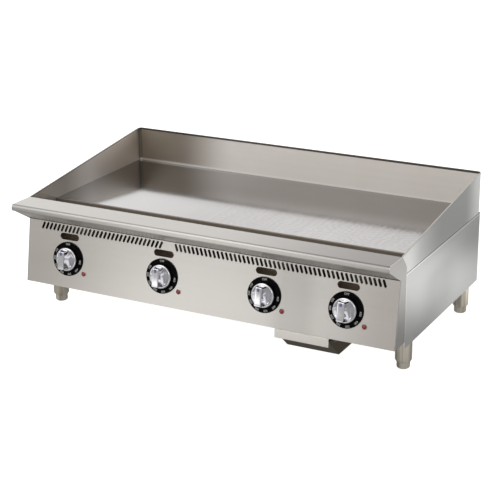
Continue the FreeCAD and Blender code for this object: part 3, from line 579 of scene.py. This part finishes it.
def make_knob(i, mt):
    bm = bmesh.new()
    prof = [(0, Z0 + 1.5), (9, Z0 + 1.5), (31.5, Z0 + 1.2), (33.6, Z0)]
    prof += [(35.3, Z0 + 0.1), (35.9, Z0 + 0.7), (36.0, Z0 + 1.6), (35.8, Z0 + 5.5)]
    prof += [(35.8 - 3.6 + 3.6 * math.cos(math.radians(a)), Z0 + 5.5 + 3.6 * math.sin(math.radians(a)))
             for a in range(15, 91, 15)]
    prof += [(31.6, Z0 + 8.9), (30.8, Z0 + 8.5), (29.8, Z0 + 7.6), (28.2, Z0 + 6.1), (26.2, Z0 + 4.8), (23.6, Z0 + 3.8),
             (20.0, Z0 + 3.1), (14.0, Z0 + 2.8), (7.0, Z0 + 2.7), (0, Z0 + 2.7)]
    lathe(bm, prof, 112)
    skirt = finish_mesh(bm, "knob_body_%d" % i, [MAT["chrome"], MAT["mark"]], 50)
    bm = bmesh.new()
    loops = []
    z_base = Z0 + 2.0
    # hollow flanks that flare at the foot, rounded crown
    w1, l1, edge = 10.9, 27.8, 1.7
    h0, h1 = Z0 + 3.0, TOP - edge
    for k in range(15):
        f = k / 14.0
        loops.append((w1 + 5.6 * (1 - f) ** 1.8, l1 + 1.4 * (1 - f) ** 2, h0 + (h1 - h0) * f))
    for a in (18, 36, 54, 72, 90):
        k = edge * (1 - math.cos(math.radians(a)))
        loops.append((w1 - k, l1 - k, h1 + edge * math.sin(math.radians(a))))
    loops.insert(0, (loops[0][0], loops[0][1], z_base))
    lp = []
    for hw, hl, z in loops:
        lp.append([(x, y, z) for x, y in rounded_rect(hw, hl, 3.4)])
    hw, hl, z = loops[-1]
    for s, dz in ((0.72, 0.05), (0.4, 0.08)):
        lp.append([(x * s, y * (1 - (1 - s) * 0.45), z + dz) for x, y in rounded_rect(hw, hl, 3.4)])
    loft(bm, lp)
    grip = finish_mesh(bm, "grip_%d" % i, [MAT["chrome"]], 50)
    knob = boolean(skirt, grip)
    knob.data.transform(mt)
    knob["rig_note"] = "chrome knob"
    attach(knob, "knob_assembly_%d" % i)
    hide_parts("knob_%d" % i)
    # pointer inlay on the crown
    bm = bmesh.new()
    o = rounded_rect(3.9, 4.9, 0.9, 4)
    loft(bm, [[(x, y + 20.8, TOP - 0.4) for x, y in o], [(x, y + 20.8, TOP + 0.12) for x, y in o],
              [(x * 0.94, y * 0.95 + 20.8, TOP + 0.22) for x, y in o]])
    p = finish_mesh(bm, "knob_pointer_%d" % i, [MAT["mark"]], 40)
    p.data.transform(mt)
    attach(p, "knob_assembly_%d" % i)


def text_mesh(body, size, extrude):
    c = bpy.data.curves.new("t", "FONT")
    c.body = body
    c.size = size * MM
    c.align_x, c.align_y = "CENTER", "CENTER"
    c.extrude = extrude * MM
    c.resolution_u = 4
    c.space_character = 1.02
    c.offset = 0.10 * MM
    o = bpy.data.objects.new("t", c)
    scene.collection.objects.link(o)
    bpy.context.view_layer.update()
    me = bpy.data.meshes.new_from_object(o.evaluated_get(bpy.context.evaluated_depsgraph_get()))
    bpy.data.objects.remove(o)
    bpy.data.curves.remove(c)
    return me


MARKS = (("OFF", 0.0), ("150", 62.0), ("200", 92.0), ("250", 124.0), ("300", 158.0), ("350", 193.0), ("400", 230.0), ("450", 266.0))


def make_dial(i, mt):
    bm = bmesh.new()
    prof = [(6.5, 0.3), (50.6, 0.3), (51.7, 0.7), (52.0, 1.6), (52.0, 3.0)]
    prof += arc_pts(50.0, 3.3, 2.0, 0, 90, 6)[1:]
    prof += [(47.0, 5.3), (40.4, 5.25), (39.4, 5.0), (38.9, 4.5), (37.6, 4.3), (20.0, 4.3), (10.0, 4.3), (6.5, 4.3), (6.5, 0.3)]
    lathe(bm, prof, 128)
    bmesh.ops.remove_doubles(bm, verts=bm.verts, dist=1e-6)
    d = finish_mesh(bm, "dial_plate_%d" % i, [MAT["black"]], 40)
    d.data.transform(mt)
    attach(d, "cabinet")
    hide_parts("bezel_%d" % i)
    bm = bmesh.new()
    for body, a in MARKS:
        me = text_mesh(body, 8.8, 0.07)
        a = math.radians(a)
        pos = Matrix.Translation(Vector((-math.sin(a), math.cos(a), 0)) * 45.3 * MM + Vector((0, 0, 5.36 * MM)))
        me.transform(pos @ Matrix.Rotation(a, 4, "Z"))
        bm.from_mesh(me)
        bpy.data.meshes.remove(me)
    for f in bm.faces:
        f.smooth = False
    p = finish_mesh(bm, "dial_numbers_%d" % i, [MAT["print"]], 20)
    p.data.transform(mt)
    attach(p, "cabinet")


def make_lamp(i, mt):
    off = Matrix.Translation(Vector((58.0, 52.0 - 90.0, 0)) * MM)
    bm = bmesh.new()
    lathe(bm, [(0, 1.2), (6.3, 1.2), (6.3, 0.3), (7.2, 0.3), (7.6, 0.6), (7.7, 1.1), (7.5, 1.7), (7.1, 2.0), (6.8, 1.8), (6.6, 1.5), (0, 1.5)], 48)
    rim = finish_mesh(bm, "lamp_rim_%d" % i, [MAT["chrome"]], 40)
    bm = bmesh.new()
    prof = [(0, 1.4), (6.7, 1.4), (6.8, 1.9)]
    prof += [(6.8 * math.cos(math.radians(a)), 1.9 + 3.1 * math.sin(math.radians(a))) for a in (12, 24, 36, 48, 60, 72, 82)]
    prof += [(0, 5.0)]
    lathe(bm, prof, 48)
    lens = finish_mesh(bm, "lamp_lens_%d" % i, [MAT["red"]], 50)
    for o, s in ((rim, "chrome"), (lens, "red_lens")):
        o.data.transform(mt @ off)
        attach(o, "cabinet")
    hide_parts("indicator_light_%d" % i)


for i in range(1, 5):
    mt = panel_matrix(joints["knob_%d_turn" % i])
    make_knob(i, mt)
    make_dial(i, mt)
    make_lamp(i, mt)


# ---------------------------------------------------------------------------
# floor, world and lights
# ---------------------------------------------------------------------------
bm = bmesh.new()
bmesh.ops.create_grid(bm, x_segments=8, y_segments=8, size=22.0)
floor_me = bpy.data.meshes.new("floor")
bm.to_mesh(floor_me)
bm.free()
floor = bpy.data.objects.new("floor", floor_me)
scene.collection.objects.link(floor)
floor.location = (0, 0, -0.0004)
ft = Tree("floor_pale")
n = ft.noise(ft.mapping((1, 1, 1)), 0.8, 2.0, 0.5)
ft.link(ft.ramp(n, [(0.3, (0.36, 0.36, 0.36)), (0.7, (0.38, 0.38, 0.38))]), ft.bsdf.inputs["Base Color"])
ft.bsdf.inputs["Roughness"].default_value = 0.9
ft.bsdf.inputs["Specular IOR Level"].default_value = 0.1
ft.bsdf.inputs["Emission Color"].default_value = (1, 0.995, 0.985, 1)


def pool(x, y, r0, r1, amount, sy=1.0):
    """Soft pool of light on the floor about a point, full inside r0 and gone at r1."""
    v = ft.new("ShaderNodeMapping")
    v.inputs["Location"].default_value = (-x, -y / sy, 0)
    v.inputs["Scale"].default_value = (1, 1 / sy, 0)
    ft.link(ft.tc.outputs["Object"], v.inputs["Vector"])
    d = ft.new("ShaderNodeVectorMath", operation="LENGTH")
    ft.link(v.outputs[0], d.inputs[0])
    return ft.rng(d.outputs["Value"], r0, r1, amount, 0.0, True)


POOLS = [(-1.03, -2.28, 0.12, 0.78, 1.15), (-0.40, -1.12, 0.30, 0.90, 0.80, 0.6),
         (0.98, 0.47, 0.08, 0.53, 0.60), (1.12, 1.95, 0.15, 0.75, 0.65)]
acc = None
for args in POOLS:
    q = pool(*args)
    acc = ft.math("ADD", q, 0.13) if acc is None else ft.math("ADD", acc, q)
# the swept paper reads as white; what the metal sees of it is the lit pools
cam_ray = ft.new("ShaderNodeLightPath").outputs["Is Camera Ray"]
mixer = ft.new("ShaderNodeMix", data_type="FLOAT")
ft.link(cam_ray, mixer.inputs[0])
ft.link(acc, mixer.inputs[2])
mixer.inputs[3].default_value = 1.0
ft.link(mixer.outputs[0], ft.bsdf.inputs["Emission Strength"])
floor_me.materials.append(ft.m)

world = bpy.data.worlds.new("studio")
scene.world = world
world.use_nodes = True
wt = world.node_tree
wt.nodes.clear()


def wn(kind, **kw):
    n = wt.nodes.new(kind)
    for k, v in kw.items():
        setattr(n, k, v)
    return n


wout = wn("ShaderNodeOutputWorld")
bg = wn("ShaderNodeBackground")
wt.links.new(bg.outputs[0], wout.inputs[0])
wtc = wn("ShaderNodeTexCoord")


def glow(direction, inner, outer, amount):
    """Soft round glow of the sky about a direction; inner and outer in degrees."""
    d = Vector(direction).normalized()
    dot = wn("ShaderNodeVectorMath", operation="DOT_PRODUCT")
    wt.links.new(wtc.outputs["Generated"], dot.inputs[0])
    dot.inputs[1].default_value = d
    mr = wn("ShaderNodeMapRange", interpolation_type="SMOOTHSTEP")
    wt.links.new(dot.outputs["Value"], mr.inputs["Value"])
    mr.inputs["From Min"].default_value = math.cos(math.radians(outer))
    mr.inputs["From Max"].default_value = math.cos(math.radians(inner))
    mr.inputs["To Min"].default_value = 0.0
    mr.inputs["To Max"].default_value = amount
    return mr.outputs[0]


def total(parts, base):
    acc = None
    for p in parts:
        a = wn("ShaderNodeMath", operation="ADD")
        wt.links.new(p, a.inputs[0])
        if acc is None:
            a.inputs[1].default_value = base
        else:
            wt.links.new(acc, a.inputs[1])
        acc = a.outputs[0]
    mx = wn("ShaderNodeMath", operation="MAXIMUM")
    wt.links.new(acc, mx.inputs[0])
    mx.inputs[1].default_value = 0.02
    return mx.outputs[0]


SKY = [((-0.605, 0.74, 0.30), 8, 33, 1.38),      # big soft source behind on the left
       ((-0.44, -0.83, 0.55), 8, 50, 0.85),     # softer one in front on the left
       ((0.0, 0.0, 1.0), 10, 60, 0.20),
       ((0.80, 0.58, 0.22), 6, 30, 1.9),       # low source on the right that lights the left wall inside
       ((0.55, -0.70, 0.45), 4, 12, 2.2),       # small bright window in front on the right
       ((0.28, 0.96, 0.25), 5, 22, -0.30)]      # gap between the sources
strength = total([glow(*g) for g in SKY], 0.42)
# the backdrop above the floor is as white as the floor
sweep = wn("ShaderNodeMix", data_type="FLOAT")
wt.links.new(wn("ShaderNodeLightPath").outputs["Is Camera Ray"], sweep.inputs[0])
wt.links.new(strength, sweep.inputs[2])
sweep.inputs[3].default_value = 1.05
wt.links.new(sweep.outputs[0], bg.inputs["Strength"])
bg.inputs["Color"].default_value = (1.0, 0.99, 0.975, 1)


def area(name, loc, target, size, power, colour=(1, 1, 1), size_y=None):
    l = bpy.data.lights.new(name, "AREA")
    l.energy = power
    l.color = colour
    l.size = size
    if size_y:
        l.shape = "RECTANGLE"
        l.size_y = size_y
    o = bpy.data.objects.new(name, l)
    scene.collection.objects.link(o)
    o.location = loc
    o.rotation_mode = "QUATERNION"
    o.rotation_quaternion = (Vector(target) - Vector(loc)).to_track_quat("-Z", "Y")
    o.visible_camera = False
    return o


area("key", (-1.6, -2.2, 3.4), (0, 0, 0.2), 2.2, 26.0, (1.0, 0.985, 0.96))
